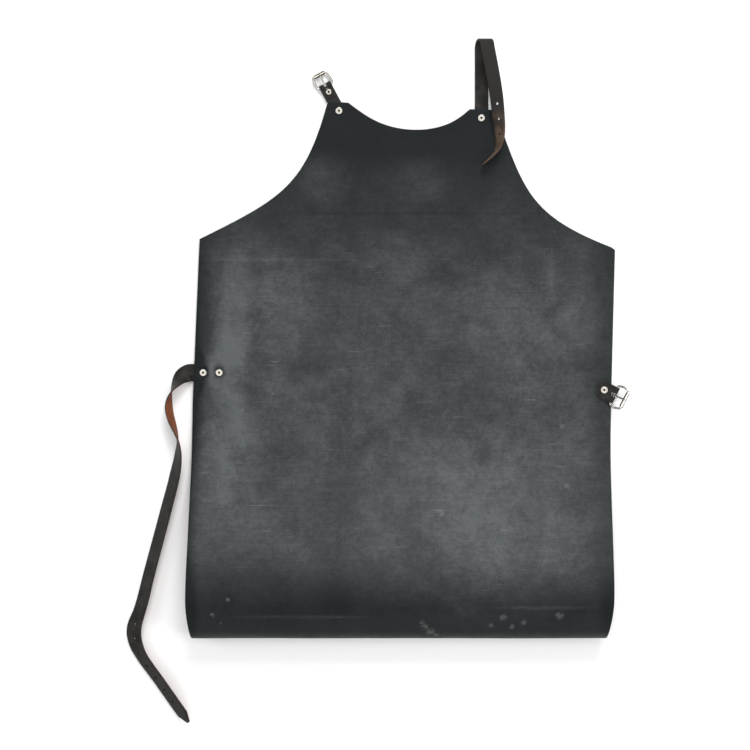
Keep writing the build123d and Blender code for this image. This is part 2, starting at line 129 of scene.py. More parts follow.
def add_node(tree, kind, inputs=None, **settings):
    """Node of a kind with its settings, its inputs set or linked."""
    node = tree.nodes.new(kind)
    for key, value in settings.items():
        setattr(node, key, value)
    for key, value in (inputs or {}).items():
        if isinstance(value, bpy.types.NodeSocket):
            tree.links.new(value, node.inputs[key])
        else:
            node.inputs[key].default_value = value
    return node


def leather_place(tree, stretch=(1, 1, 1)):
    """Coordinates on the leather in metres, stretched if asked."""
    uv = add_node(tree, "ShaderNodeUVMap", uv_map="leather")
    return add_node(
        tree, "ShaderNodeMapping", {"Vector": uv.outputs["UV"], "Scale": stretch}
    ).outputs["Vector"]


def noise_value(tree, place, scale, detail=3.0, rough=0.55, distortion=0.0):
    """Soft noise between 0 and 1."""
    return add_node(
        tree,
        "ShaderNodeTexNoise",
        {
            "Vector": place,
            "Scale": scale,
            "Detail": detail,
            "Roughness": rough,
            "Distortion": distortion,
        },
    ).outputs["Fac"]


def ramp(tree, value, low, high, from_colour, to_colour, ease="EASE"):
    """Colour that goes from one to another as a value goes from low to high."""
    node = add_node(tree, "ShaderNodeValToRGB", {"Fac": value})
    node.color_ramp.interpolation = ease
    node.color_ramp.elements[0].position = low
    node.color_ramp.elements[0].color = (*from_colour, 1)
    node.color_ramp.elements[1].position = high
    node.color_ramp.elements[1].color = (*to_colour, 1)
    return node.outputs["Color"]


def band(tree, value, low, high, bottom=0.0, top=1.0):
    """Value mapped smoothly from low..high onto bottom..top."""
    return add_node(
        tree,
        "ShaderNodeMapRange",
        {"Value": value, "From Min": low, "From Max": high, "To Min": bottom, "To Max": top},
        interpolation_type="SMOOTHSTEP",
    ).outputs["Result"]


def mix(tree, factor, first, second, blend="MIX"):
    """Two colours mixed by a factor."""
    node = add_node(tree, "ShaderNodeMix", data_type="RGBA", blend_type=blend)
    for socket, value in ((node.inputs[0], factor), (node.inputs[6], first), (node.inputs[7], second)):
        if isinstance(value, bpy.types.NodeSocket):
            tree.links.new(value, socket)
        elif isinstance(value, float):
            socket.default_value = value
        else:
            socket.default_value = (*value, 1)
    return node.outputs[2]


def math_node(tree, operation, first, second=0.0):
    """One sum on values."""
    node = add_node(tree, "ShaderNodeMath", operation=operation)
    for socket, value in ((node.inputs[0], first), (node.inputs[1], second)):
        if isinstance(value, bpy.types.NodeSocket):
            tree.links.new(value, socket)
        else:
            socket.default_value = value
    return node.outputs[0]


def add_bump(tree, shader, layers):
    """Stack of bumps, each (height value, depth in metres)."""
    normal = None
    for height, depth in layers:
        node = add_node(tree, "ShaderNodeBump", {"Height": height, "Distance": depth, "Strength": 1.0})
        if normal is not None:
            tree.links.new(normal, node.inputs["Normal"])
        normal = node.outputs["Normal"]
    tree.links.new(normal, shader.inputs["Normal"])


def grain_cells(tree, place, scale):
    """Pebbled leather grain: height falls into the creases between cells."""
    cells = add_node(
        tree,
        "ShaderNodeTexVoronoi",
        {"Vector": place, "Scale": scale, "Randomness": 1.0},
        feature="DISTANCE_TO_EDGE",
    ).outputs["Distance"]
    return band(tree, cells, 0.0, 0.22)


def oval_patch(tree, place, centre, size):
    """1 in the middle of an oval patch of the leather, fading to 0 at its edge."""
    local = add_node(
        tree,
        "ShaderNodeMapping",
        {"Vector": place, "Location": (*centre, 0), "Scale": (*size, 1)},
        vector_type="TEXTURE",
    ).outputs["Vector"]
    fall = add_node(tree, "ShaderNodeTexGradient", {"Vector": local}, gradient_type="SPHERICAL")
    return band(tree, fall.outputs["Fac"], 0.0, 0.75)


def scratch_marks(tree, place, angle, threshold):
    """Thin light scratches lying mostly one way."""
    turned = add_node(
        tree,
        "ShaderNodeMapping",
        {"Vector": place, "Rotation": (0, 0, math.radians(angle)), "Scale": (16.0, 420.0, 1)},
    ).outputs["Vector"]
    return band(tree, noise_value(tree, turned, 1.0, 2.0, 0.45), threshold, threshold + 0.07)


SCUFFS = (
    (-0.214, 0.727, 0.0040),
    (-0.237, 0.749, 0.0050),
    (-0.225, 0.763, 0.0035),
    (0.062, 0.760, 0.0060),
    (0.066, 0.769, 0.0070),
    (0.074, 0.778, 0.0100),
    (0.083, 0.786, 0.0060),
    (0.177, 0.753, 0.0070),
    (0.160, 0.766, 0.0060),
    (0.190, 0.768, 0.0060),
    (0.206, 0.760, 0.0060),
    (0.257, 0.750, 0.0080),
    (0.266, 0.472, 0.0060),
    (0.272, 0.560, 0.0060),
    (0.090, 0.600, 0.0090),
)
# Lighter oval patches (centre, size, amount): grey wear and thin light lines, with painted highlights
# on the left ridge and on the ridge between the waist rivets.
WEAR_AND_HIGHLIGHT_PATCHES = (
    ((0.17, -0.60), (0.17, 0.20), 0.26),
    ((-0.212, -0.33), (0.040, 0.20), 0.22),
    ((-0.225, -0.47), (0.045, 0.16), 0.20),
    ((-0.20, -0.55), (0.07, 0.12), 0.16),
    ((0.20, -0.33), (0.13, 0.13), 0.12),
    ((-0.12, -0.27), (0.12, 0.07), 0.14),
    ((-0.085, -0.115), (0.06, 0.05), 0.14),
    ((0.060, -0.115), (0.06, 0.04), 0.12),
    ((0.03, -0.22), (0.10, 0.05), 0.10),
    ((0.02, -0.60), (0.08, 0.16), 0.10),
    ((-0.11, -0.752), (0.12, 0.004), 0.14),
    ((0.23, -0.738), (0.10, 0.004), 0.14),
    ((-0.14, -0.230), (0.14, 0.004), 0.14),
    ((0.25, -0.27), (0.012, 0.05), 0.10),
    ((-0.2440, -0.394), (0.0055, 0.024), 0.34),
    ((-0.212, -0.370), (0.030, 0.030), 0.18),
)
# Darker oval patches (centre, size, amount): painted shade along both side margins, on the left
# ridge's outer slope and in the dimples round the waist rivets, with a few other darker spots.
DARK_PATCHES = (
    ((0.34, -0.45), (0.05, 0.45), 0.22),
    ((-0.285, -0.50), (0.035, 0.50), 0.45),
    ((-0.06, -0.62), (0.06, 0.18), 0.12),
    ((-0.262, -0.33), (0.030, 0.22), 0.26),
    ((-0.266, -0.394), (0.021, 0.040), 0.60),
    ((-0.2310, -0.393), (0.0100, 0.017), 0.50),
    ((0.02, -0.02), (0.22, 0.10), 0.06),
    ((0.04, -0.163), (0.26, 0.004), 0.05),
    ((0.18, -0.300), (0.05, 0.003), 0.10),
)


def sheet_grain_material():
    """Worn black grain of the apron: grey clouds, scuffs, faint scratches and a fine pebble, with
    painted light and shade: lighter down the slope, darker at the hem roll, the margins and the rivet
    dimples, lighter on raised leather.
    """
    material, tree, shader = new_material("apron_grain")
    place = leather_place(tree)
    down = add_node(
        tree, "ShaderNodeSeparateXYZ", {"Vector": place}
    ).outputs["Y"]
    fall = math_node(tree, "MULTIPLY", down, -1.0)
    clouds = noise_value(tree, place, 8.0, 6.0, 0.62, 0.5)
    patches = noise_value(tree, place, 30.0, 6.0, 0.66, 0.3)
    mottle = noise_value(tree, place, 130.0, 4.0, 0.68)
    grit = noise_value(tree, place, 520.0, 3.0, 0.7)
    streaks = noise_value(tree, leather_place(tree, (22.0, 340.0, 1.0)), 1.0, 3.0, 0.6)
    # Painted light and shade down the leather: darker at the bib, lighter down the slope that faces
    # the key light, and painted shade where the hem rolls under.
    wear_and_light = band(tree, fall, 0.04, 0.36, 0.06, 0.46)
    wear_and_light = math_node(tree, "ADD", wear_and_light, band(tree, fall, 0.36, 0.60, 0.0, 0.03))
    wear_and_light = math_node(tree, "ADD", wear_and_light, band(tree, fall, 0.64, 0.74, 0.0, -0.40))
    # Lighter patches: grey wear, with painted highlights on the left ridge and between the waist
    # rivets.
    for centre, size, amount in WEAR_AND_HIGHLIGHT_PATCHES:
        patch = oval_patch(tree, place, centre, size)
        wear_and_light = math_node(tree, "ADD", wear_and_light, math_node(tree, "MULTIPLY", patch, amount))
    # Painted shade at the margins and round the waist rivets, and other darker spots.
    for centre, size, amount in DARK_PATCHES:
        patch = oval_patch(tree, place, centre, size)
        wear_and_light = math_node(tree, "SUBTRACT", wear_and_light, math_node(tree, "MULTIPLY", patch, amount))
    wear_and_light = math_node(tree, "MAXIMUM", wear_and_light, 0.03)
    uneven = band(tree, clouds, 0.25, 0.75, 0.66, 1.34)
    for value, spread in ((patches, 0.30), (mottle, 0.22), (grit, 0.20), (streaks, 0.10)):
        layer = band(tree, value, 0.25, 0.75, 1 - spread, 1 + spread)
        uneven = math_node(tree, "MULTIPLY", uneven, layer)
    wear_and_light = math_node(tree, "MULTIPLY", wear_and_light, uneven)
    # Raised leather painted lighter: a painted highlight on ridges and lifted places.
    raised = add_node(tree, "ShaderNodeAttribute", attribute_name="raised").outputs["Fac"]
    wear_and_light = math_node(tree, "ADD", wear_and_light, math_node(tree, "MULTIPLY", raised, 0.20))
    colour = ramp(tree, wear_and_light, 0.0, 1.0, (0.0032, 0.0056, 0.0066), (0.084, 0.092, 0.092), "LINEAR")
    marks = scratch_marks(tree, place, 58, 0.70)
    marks = math_node(tree, "MAXIMUM", marks, scratch_marks(tree, place, -35, 0.72))
    marks = math_node(tree, "MULTIPLY", marks, band(tree, wear_and_light, 0.1, 0.6, 0.0, 0.55))
    colour = mix(tree, marks, colour, (0.17, 0.17, 0.16))
    specks = add_node(
        tree, "ShaderNodeTexVoronoi", {"Vector": place, "Scale": 26.0, "Randomness": 1.0}
    ).outputs["Distance"]
    specks = math_node(tree, "MULTIPLY", band(tree, specks, 0.05, 0.02), band(tree, patches, 0.5, 0.6))
    for x, drop, size in SCUFFS:
        spot = oval_patch(tree, place, (x, -drop), (size, size))
        spot = math_node(tree, "MULTIPLY", spot, band(tree, mottle, 0.38, 0.56))
        specks = math_node(tree, "MAXIMUM", specks, spot)
    colour = mix(tree, math_node(tree, "MULTIPLY", specks, 0.36), colour, (0.16, 0.165, 0.16))
    tree.links.new(colour, shader.inputs["Base Color"])
    rough = band(tree, patches, 0.3, 0.75, 0.44, 0.60)
    tree.links.new(rough, shader.inputs["Roughness"])
    shader.inputs["Specular IOR Level"].default_value = 0.13
    add_bump(
        tree,
        shader,
        (
            (grain_cells(tree, place, 900.0), 0.00003),
            (noise_value(tree, place, 260.0, 4.0, 0.6), 0.00022),
            (patches, 0.0006),
            (noise_value(tree, place, 14.0, 2.0, 0.5), 0.003),
        ),
    )
    return material


def strap_grain_material():
    """Near-black waxed grain of the straps and tabs, rubbed grey in places."""
    material, tree, shader = new_material("strap_grain")
    place = leather_place(tree)
    rubbed = noise_value(tree, place, 45.0, 4.0, 0.6, 0.3)
    fine = noise_value(tree, place, 300.0, 4.0, 0.65)
    base = ramp(tree, rubbed, 0.35, 0.75, (0.008, 0.0075, 0.007), (0.030, 0.028, 0.025))
    colour = mix(tree, band(tree, fine, 0.5, 0.8, 0.0, 0.4), base, (0.050, 0.046, 0.040))
    tree.links.new(colour, shader.inputs["Base Color"])
    tree.links.new(band(tree, rubbed, 0.3, 0.8, 0.42, 0.6), shader.inputs["Roughness"])
    shader.inputs["Specular IOR Level"].default_value = 0.13
    add_bump(
        tree,
        shader,
        ((grain_cells(tree, place, 950.0), 0.00003), (fine, 0.00018), (rubbed, 0.0004)),
    )
    return material


def flesh_material(name, dark, light, dyed=None):
    """Fibrous suede side of leather, black up to a distance along the strap if it is dyed."""
    material, tree, shader = new_material(name)
    place = leather_place(tree)
    blotch = noise_value(tree, place, 38.0, 4.0, 0.6, 0.5)
    fibre = noise_value(tree, leather_place(tree, (1.0, 0.35, 1.0)), 900.0, 4.0, 0.75)
    base = ramp(tree, blotch, 0.3, 0.7, dark, light)
    colour = mix(tree, band(tree, fibre, 0.45, 0.75, 0.0, 0.35), base, tuple(1.6 * c for c in light))
    if dyed:
        along = add_node(tree, "ShaderNodeSeparateXYZ", {"Vector": place}).outputs["Y"]
        ragged = math_node(tree, "ADD", along, band(tree, blotch, 0.3, 0.7, -0.012, 0.012))
        colour = mix(tree, band(tree, ragged, *dyed), (0.013, 0.012, 0.011), colour)
    tree.links.new(colour, shader.inputs["Base Color"])
    shader.inputs["Roughness"].default_value = 0.72
    shader.inputs["Specular IOR Level"].default_value = 0.25
    add_bump(tree, shader, ((fibre, 0.00025), (blotch, 0.0004)))
    return material


def edge_material(name, dark, light):
    """Cut edge of leather: layered fibres running along it."""
    material, tree, shader = new_material(name)
    place = leather_place(tree)
    layers = noise_value(tree, leather_place(tree, (2.0, 0.1, 1.0)), 1200.0, 3.0, 0.6)
    blotch = noise_value(tree, place, 60.0, 3.0, 0.6)
    base = ramp(tree, blotch, 0.3, 0.7, dark, light)
    colour = mix(tree, band(tree, layers, 0.4, 0.8, 0.0, 0.5), base, tuple(1.7 * c for c in light))
    tree.links.new(colour, shader.inputs["Base Color"])
    shader.inputs["Roughness"].default_value = 0.7
    add_bump(tree, shader, ((layers, 0.0002),))
    return material


def nickel_material(name, tint, rough, reach):
    """Bright nickel plate with dull patches, painted dark brown on the sides that face away from up as
    a painted reflection, and darkened in hollows as painted shade.
    """
    material, tree, shader = new_material(name)
    coordinates = add_node(tree, "ShaderNodeTexCoord")
    place = coordinates.outputs["Object"]
    tarnish = noise_value(tree, place, 420.0, 4.0, 0.65)
    hair = noise_value(
        tree,
        add_node(tree, "ShaderNodeMapping", {"Vector": place, "Scale": (1, 6, 1)}).outputs["Vector"],
        900.0,
        3.0,
        0.7,
    )
    # Faces turned away from up get a painted dark brown reflection, and hollows found by occlusion get
    # painted shade.
    facing = add_node(
        tree, "ShaderNodeSeparateXYZ", {"Vector": coordinates.outputs["Normal"]}
    ).outputs["Z"]
    ragged = math_node(tree, "ADD", facing, band(tree, tarnish, 0.3, 0.8, -0.06, 0.10))
    side = band(tree, ragged, *reach)
    hollow = add_node(
        tree, "ShaderNodeAmbientOcclusion", {"Distance": 0.0022}, samples=6, only_local=True
    ).outputs["AO"]
    lit_top_share = math_node(tree, "MULTIPLY", side, band(tree, hollow, 0.35, 0.85))
    dull = tuple(0.72 * c for c in tint)
    plate = ramp(tree, tarnish, 0.4, 0.85, tint, dull)
    tree.links.new(mix(tree, lit_top_share, (0.017, 0.0095, 0.005), plate), shader.inputs["Base Color"])
    shader.inputs["Metallic"].default_value = 1.0
    tree.links.new(band(tree, hair, 0.3, 0.8, rough, rough + 0.22), shader.inputs["Roughness"])
    dents = noise_value(tree, place, 160.0, 2.0, 0.5)
    add_bump(tree, shader, ((hair, 0.00003), (tarnish, 0.00005), (dents, 0.0006)))
    return material


SHEET_GRAIN = sheet_grain_material()
SHEET_FLESH = flesh_material("apron_flesh", (0.045, 0.030, 0.020), (0.085, 0.055, 0.036))
SHEET_EDGE = edge_material("apron_edge", (0.012, 0.011, 0.010), (0.035, 0.028, 0.022))
STRAP_GRAIN = strap_grain_material()
WAIST_FLESH = flesh_material("waist_strap_flesh", (0.080, 0.019, 0.004), (0.20, 0.050, 0.009))
WAIST_EDGE = edge_material("waist_strap_edge", (0.016, 0.010, 0.007), (0.045, 0.024, 0.014))
NECK_FLESH = flesh_material(
    "neck_strap_flesh", (0.050, 0.034, 0.022), (0.15, 0.10, 0.062), dyed=(0.235, 0.315)
)
NECK_EDGE = edge_material("neck_strap_edge", (0.030, 0.014, 0.007), (0.085, 0.036, 0.016))
TAB_FLESH = flesh_material("tab_flesh", (0.009, 0.008, 0.0075), (0.022, 0.018, 0.016))
TAB_EDGE = edge_material("tab_edge", (0.016, 0.013, 0.011), (0.12, 0.10, 0.085))
RIVET_NICKEL = nickel_material("rivet_nickel", (0.52, 0.49, 0.44), 0.22, (0.80, 0.99))
BUCKLE_NICKEL = nickel_material("buckle_nickel", (0.74, 0.69, 0.61), 0.15, (0.76, 0.98))


# ---- Mesh helpers ------------------------------------------------------------------------------
def make_object(name, points, faces, materials, face_slots, places):
    """Smooth mesh object with leather coordinates at every point, in metres."""
    mesh = bpy.data.meshes.new(name)
    mesh.from_pydata([tuple(p) for p in points], [], faces)
    for material in materials:
        mesh.materials.append(material)
    mesh.polygons.foreach_set("material_index", face_slots)
    mesh.polygons.foreach_set("use_smooth", [True] * len(faces))
    layer = mesh.uv_layers.new(name="leather")
    corners = np.zeros(len(mesh.loops), int)
    mesh.loops.foreach_get("vertex_index", corners)
    layer.data.foreach_set("uv", np.array(places, float)[corners].ravel())
    mesh.update()
    thing = bpy.data.objects.new(name, mesh)
    bpy.context.scene.collection.objects.link(thing)
    return thing


def apply_modifiers(thing):
    """The object's mesh with its modifiers applied, and none left on it."""
    shape = bpy.data.meshes.new_from_object(
        thing.evaluated_get(bpy.context.evaluated_depsgraph_get())
    )
    thing.modifiers.clear()
    thing.data = shape
    return thing


def thicken(thing, thickness, bevel, centred=False, angle=50):
    """Gives a sheet its thickness below its upper face, with softened edges."""
    solid = thing.modifiers.new("thickness", "SOLIDIFY")
    solid.thickness = thickness
    solid.offset = 0 if centred else -1
    solid.material_offset = 1
    solid.material_offset_rim = 2
    soft = thing.modifiers.new("edges", "BEVEL")
    soft.width = bevel
    soft.segments = 2
    soft.limit_method = "ANGLE"
    soft.angle_limit = math.radians(angle)
    bpy.context.view_layer.update()
    apply_modifiers(thing)
    thing.data.polygons.foreach_set("use_smooth", [True] * len(thing.data.polygons))
    return thing


def smooth_step(value, low, high):
    """0 below low, 1 above high and smooth between."""
    share = np.clip((np.asarray(value, float) - low) / (high - low), 0, 1)
    return share * share * (3 - 2 * share)


# ---- The leather sheet -------------------------------------------------------------------------
THICK = 2.4
TOP = 6.1
LENGTH = 914.0
BIB_TOP = 408.0
RISE_START = -75.0
TURNS = ((200.0, 20.0), (None, 135.7), (110.0, -20.0), (80.0, -35.0), (34.0, -55.0))
HEM_L, HEM_R = (-276.0, -400.0), (333.5, -400.0)
WAIST_L, WAIST_R = (-270.5, -30.0), (338.2, -30.0)
SHOULDER_L, SHOULDER_R = (-260.5, 208.0), (344.0, 194.0)
BIB_L_OUT, BIB_L_IN = (-74.0, 408.0), (-43.8, 406.4)
BIB_R_IN, BIB_R_OUT = (132.8, 397.0), (168.3, 396.0)
NECKLINE = ((-7.0, 381.5), (54.8, 367.0), (113.0, 381.8))
ARMHOLE_L = ((-107.5, 284.5), (-139.8, 267.8))
ARMHOLE_R = ((212.3, 284.1), (211.2, 243.8))
CORNER = 5.0
HEM_DRAW = 7.0  # how far the rolled hem draws in at each side
CAPS = ((149.6, 384.0), (-57.7, 394.5), (-231.9, 13.6), (-255.2, 13.6), (327.6, -11.5))


def bezier(start, handles, end, count=160):
    """Points along a cubic curve."""
    t = np.linspace(0, 1, count)[:, None]
    first, second = np.array(handles[0]), np.array(handles[1])
    return (
        (1 - t) ** 3 * np.array(start)
        + 3 * (1 - t) ** 2 * t * first
        + 3 * (1 - t) * t * t * second
        + t**3 * np.array(end)
    )


def natural_spline(points, count):
    """Points along a smooth curve through all the given points, evenly spread along it."""
    points = np.array(points, float)
    steps = np.linalg.norm(np.diff(points, axis=0), axis=1)
    knots = np.concatenate(([0], np.cumsum(steps)))
    size = len(points)
    matrix = np.zeros((size, size))
    right = np.zeros((size, points.shape[1]))
    matrix[0, 0] = matrix[-1, -1] = 1
    for i in range(1, size - 1):
        before, after = steps[i - 1], steps[i]
        matrix[i, i - 1 : i + 2] = (before, 2 * (before + after), after)
        right[i] = 6 * ((points[i + 1] - points[i]) / after - (points[i] - points[i - 1]) / before)
    curve = np.linalg.solve(matrix, right)
    at = np.linspace(0, knots[-1], count)
    cell = np.clip(np.searchsorted(knots, at, side="right") - 1, 0, size - 2)
    step = steps[cell][:, None]
    a = (knots[cell + 1] - at)[:, None]
    b = (at - knots[cell])[:, None]
    return (
        curve[cell] * a**3 / (6 * step)
        + curve[cell + 1] * b**3 / (6 * step)
        + (points[cell] / step - curve[cell] * step / 6) * a
        + (points[cell + 1] / step - curve[cell + 1] * step / 6) * b
    ), at / knots[-1], knots / knots[-1]


def side_line(armhole, waist, hem):
    """Side edge as heights Y with their X, from the hem up."""
    line = np.vstack((armhole, [waist], [hem]))[::-1]
    return line[:, 1], line[:, 0]


LEFT_Y, LEFT_X = side_line(bezier(BIB_L_OUT, ARMHOLE_L, SHOULDER_L), WAIST_L, HEM_L)
RIGHT_Y, RIGHT_X = side_line(bezier(BIB_R_OUT, ARMHOLE_R, SHOULDER_R), WAIST_R, HEM_R)
NECK_POINTS = natural_spline((BIB_L_IN, *NECKLINE, BIB_R_IN), 120)[0]
TOP_X = np.concatenate(([BIB_L_OUT[0]], NECK_POINTS[:, 0], [BIB_R_OUT[0]]))
TOP_Y = np.concatenate(([BIB_L_OUT[1]], NECK_POINTS[:, 1], [BIB_R_OUT[1]]))


def top_edge(x):
    """Height Y of the sheet's top edge, its outer corners rounded."""
    y = np.interp(x, TOP_X, TOP_Y)
    for corner, way in ((BIB_L_OUT[0], 1), (BIB_R_OUT[0], -1)):
        inset = np.clip(CORNER - way * (x - corner), 0, CORNER)
        y = y - (CORNER - np.sqrt(CORNER**2 - inset**2))
    return y


def side_profile(distance):
    """Place (Y, Z) and slope of the grain side at a distance along the leather from the bib."""
    y, z, heading, left = BIB_TOP, TOP, 0.0, distance
    pieces = [(None, BIB_TOP - RISE_START), *TURNS]
    for radius, amount in pieces:
        length = amount if radius is None else radius * math.radians(abs(amount))
        part = min(left, length)
        if radius is None:
            y -= part * math.cos(heading)
            z += part * math.sin(heading)
        else:
            turned = math.copysign(part / radius, amount)
            way = math.copysign(radius, amount)
            y -= way * (math.sin(heading + turned) - math.sin(heading))
            z -= way * (math.cos(heading + turned) - math.cos(heading))
            heading += turned
        left -= part
        if left <= 0:
            return y, z, heading
    roll = z
    part = min(left, roll * math.pi / 2)
    turned = -part / roll
    y += roll * (math.sin(heading + turned) - math.sin(heading))
    z += roll * (math.cos(heading + turned) - math.cos(heading))
    heading += turned
    left -= part
    return y - left * math.cos(heading), z + left * math.sin(heading), heading


def swell(x, s, y):
    """How far the leather stands above its plain shape, in millimetres."""
    line = -214 - 30 * math.exp(-(((y - 13) / 38) ** 2))
    reach = 15 if x < line else 26
    ends = float(smooth_step(y, -110, -60)) * (1 - float(smooth_step(y, 160, 212)))
    ridge = 4.8 * math.exp(-(((x - line) / reach) ** 2)) * ends
    calm = 1.0
    for cap_x, cap_y in CAPS:
        calm *= float(smooth_step(math.hypot(x - cap_x, y - cap_y), 6.5, 30.0))
    close = 1.0
    for cap_x, cap_y in CAPS:
        close *= float(smooth_step(math.hypot(x - cap_x, y - cap_y), 5.7, 11.5))
    strap = math.exp(-(((x - 165) / 45) ** 2 + ((y - 365) / 60) ** 2))
    flat = noise.noise(Vector((x / 130, s / 150, 0.7)))
    flat += 0.45 * noise.noise(Vector((x / 55, s / 70, 4.2)))
    raised = float(smooth_step(s, 470, 640))
    under = 1 - float(smooth_step(s, 720, 790))
    amplitude = (0.9 + 2.4 * raised * under) * (1 - 0.7 * strap)
    lift = max(amplitude * (flat + 0.55), 0.0) * calm
    return ridge * close + lift * (1 - float(smooth_step(s, 770, 850)))


def build_sheet():
    """The apron's sheet: rows down the leather, columns from edge to edge."""
    columns, low_y = 152, 340.0
    shares = np.linspace(0, 1, columns)
    tops = np.full(columns, 395.0)
    for _ in range(60):
        left = np.interp(tops, LEFT_Y, LEFT_X)
        right = np.interp(tops, RIGHT_Y, RIGHT_X)
        tops = 0.5 * tops + 0.5 * top_edge(left + shares * (right - left))
    bib_rows = np.linspace(0, 1, 22)
    distances = [BIB_TOP - (tops + r * (low_y - tops)) for r in bib_rows]
    lower = np.concatenate(
        (np.arange(BIB_TOP - low_y + 4, 450, 4.0), np.arange(450, LENGTH - 1, 3.0), [LENGTH])
    )
    distances += [np.full(columns, s) for s in lower]
    points, places, raised = [], [], []
    for row in distances:
        for share, s in zip(shares, row):
            y, z, heading = side_profile(s)
            draw = HEM_DRAW * float(smooth_step(s, 725, 815))
            left = np.interp(y, LEFT_Y, LEFT_X) + draw
            right = np.interp(y, RIGHT_Y, RIGHT_X) - draw
            x = left + share * (right - left)
            lift = swell(x, s, y)
            # How far the leather stands up, which the grain turns into a painted highlight.
            raised.append(min(max(lift - 1.2, 0) / 3, 1) if s < 520 else 0)
            out = np.array((x, y + lift * math.sin(heading), z + lift * math.cos(heading)))
            points.append(out * MM)
            places.append((x * MM, -s * MM))
    faces = []
    for r in range(len(distances) - 1):
        for c in range(columns - 1):
            a = r * columns + c
            faces.append((a, a + columns, a + columns + 1, a + 1))
    sheet = make_object(
        "leather_sheet",
        points,
        faces,
        [SHEET_GRAIN, SHEET_FLESH, SHEET_EDGE],
        [0] * len(faces),
        places,
    )
    layer = sheet.data.attributes.new("raised", "FLOAT", "POINT")
    layer.data.foreach_set("value", raised)
    thicken(sheet, THICK * MM, 0.5 * MM)
    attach(sheet, "panel")
    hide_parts("apron_panel")
    return sheet


# ---- Straps ------------------------------------------------------------------------------------
SECTION = (
    (-1.0, -0.62),
    (-0.975, -0.92),
    (-0.93, -1.0),
    (0.93, -1.0),
    (0.975, -0.92),
    (1.0, -0.62),
    (1.0, 0.55),
    (0.985, 0.86),
    (0.93, 1.0),
    (-0.93, 1.0),
    (-0.985, 0.86),
    (-1.0, 0.55),
)


def strap_mesh(name, stations, thick, finish, grain_up=True, spread=7):
    """Strap through stations of (centre, width way, face way, half width), all in millimetres."""
    ring = []
    for (x0, y0), (x1, y1) in zip(SECTION, SECTION[1:] + SECTION[:1]):
        wide = abs(x1 - x0) > 1
        for k in range(spread if wide else 1):
            share = k / spread if wide else 0
            ring.append((x0 + share * (x1 - x0), y0 + share * (y1 - y0)))
    size = len(ring)
    points, places = [], []
    travelled = 0.0
    previous = None
    for centre, wide_way, face_way, half in stations:
        if previous is not None:
            travelled += float(np.linalg.norm(centre - previous))
        previous = centre
        for across, up in ring:
            rim = 0.5 * thick
            point = centre + wide_way * (across * half) + face_way * (up * rim)
            points.append(point * MM)
            places.append((across * half * MM + (0.06 if up < 0 else 0), travelled * MM))
    faces, slots = [], []
    for r in range(len(stations) - 1):
        for c in range(size):
            d = (c + 1) % size
            a, b = r * size + c, r * size + d
            faces.append((a, b, b + size, a + size))
            up0, up1 = ring[c][1], ring[d][1]
            level = (up0 + up1) / 2
            if level > 0.6:
                slots.append(0 if grain_up else 1)
            elif level < -0.6:
                slots.append(1 if grain_up else 0)
            else:
                slots.append(2)
    for row, flip in ((0, False), (len(stations) - 1, True)):
        cap = [row * size + c for c in range(size)]
        faces.append(tuple(cap if flip else reversed(cap)))
        slots.append(2)
    return make_object(name, points, faces, finish, slots, places)


def rolled(centre, way, roll):
    """Width way and face way of a strap that runs level along way, rolled out of the flat."""
    up = np.array((0.0, 0.0, 1.0))
    way = np.array((way[0], way[1], 0.0))
    way = way / np.linalg.norm(way)
    outward = np.cross(way, up)
    turn = math.radians(roll)
    wide = -outward * math.cos(turn) + up * math.sin(turn)
    return wide, np.cross(way, wide)


def run_stations(points, rolls, count, half):
    """Stations along a smooth line through points, with rolls spread between them."""
    line, at, knots = natural_spline(points, count)
    ways = np.gradient(line, axis=0)
    roll_here = np.interp(at, knots, rolls)
    soft = np.convolve(np.pad(roll_here, 3, mode="edge"), np.ones(7) / 7, mode="valid")
    return [
        (centre, *rolled(centre, way, roll), half)
        for centre, way, roll in zip(line, ways, soft)
    ]


NECK_HALF, NECK_THICK, NECK_X = 9.8, 2.4, 150.1
NECK_Z, NECK_LOOP, NECK_LOOP_Y = 2.2, 10.2, 487.0
NECK_UPPER = (
    (157.4, 487.0, 22.6, 0.0),
    (160.6, 470.0, 24.0, 4.0),
    (164.6, 448.0, 24.8, 8.0),
    (170.2, 413.3, 25.0, 18.0),
    (174.0, 378.7, 22.5, 34.0),
    (175.6, 354.0, 19.4, 56.0),
    (171.5, 336.0, 17.6, 78.0),
    (162.5, 325.4, 17.4, 86.0),
    (154.5, 318.0, 17.4, 87.0),
)
WAIST_HALF, WAIST_THICK, WAIST_Z = 12.7, 2.5, 2.45
WAIST_RUN = (
    (-275.3, 13.6, 0.0),
    (-285.0, 9.0, 24.0),
    (-293.5, -0.5, 56.0),
    (-301.0, -15.0, 88.0),
    (-304.5, -34.0, 108.0),
    (-299.0, -60.0, 104.0),
    (-291.8, -82.0, 86.0),
    (-290.6, -102.0, 66.0),
    (-294.5, -130.0, 52.0),
    (-307.0, -180.0, 49.0),
    (-321.0, -233.0, 48.0),
    (-335.0, -286.0, 47.0),
    (-349.0, -338.0, 44.0),
    (-355.5, -360.0, 28.0),
    (-353.0, -379.0, 34.0),
    (-344.0, -398.0, 46.0),
    (-324.0, -426.3, 48.0),
    (-304.0, -454.5, 48.0),
    (-284.0, -482.8, 48.0),
)
HOLE = 1.9


def tapered(stations, length, tip_half, start=False):
    """The stations with a point or rounding drawn on over a length at one end."""
    stations = stations[::-1] if start else stations
    gone, out = 0.0, []
    for i in range(len(stations) - 1, -1, -1):
        centre, wide, face, half = stations[i]
        if i < len(stations) - 1:
            gone += float(np.linalg.norm(stations[i + 1][0] - centre))
        share = min(gone / length, 1.0)
        out.append((centre, wide, face, tip_half + (half - tip_half) * share))
    return out if start else out[::-1]


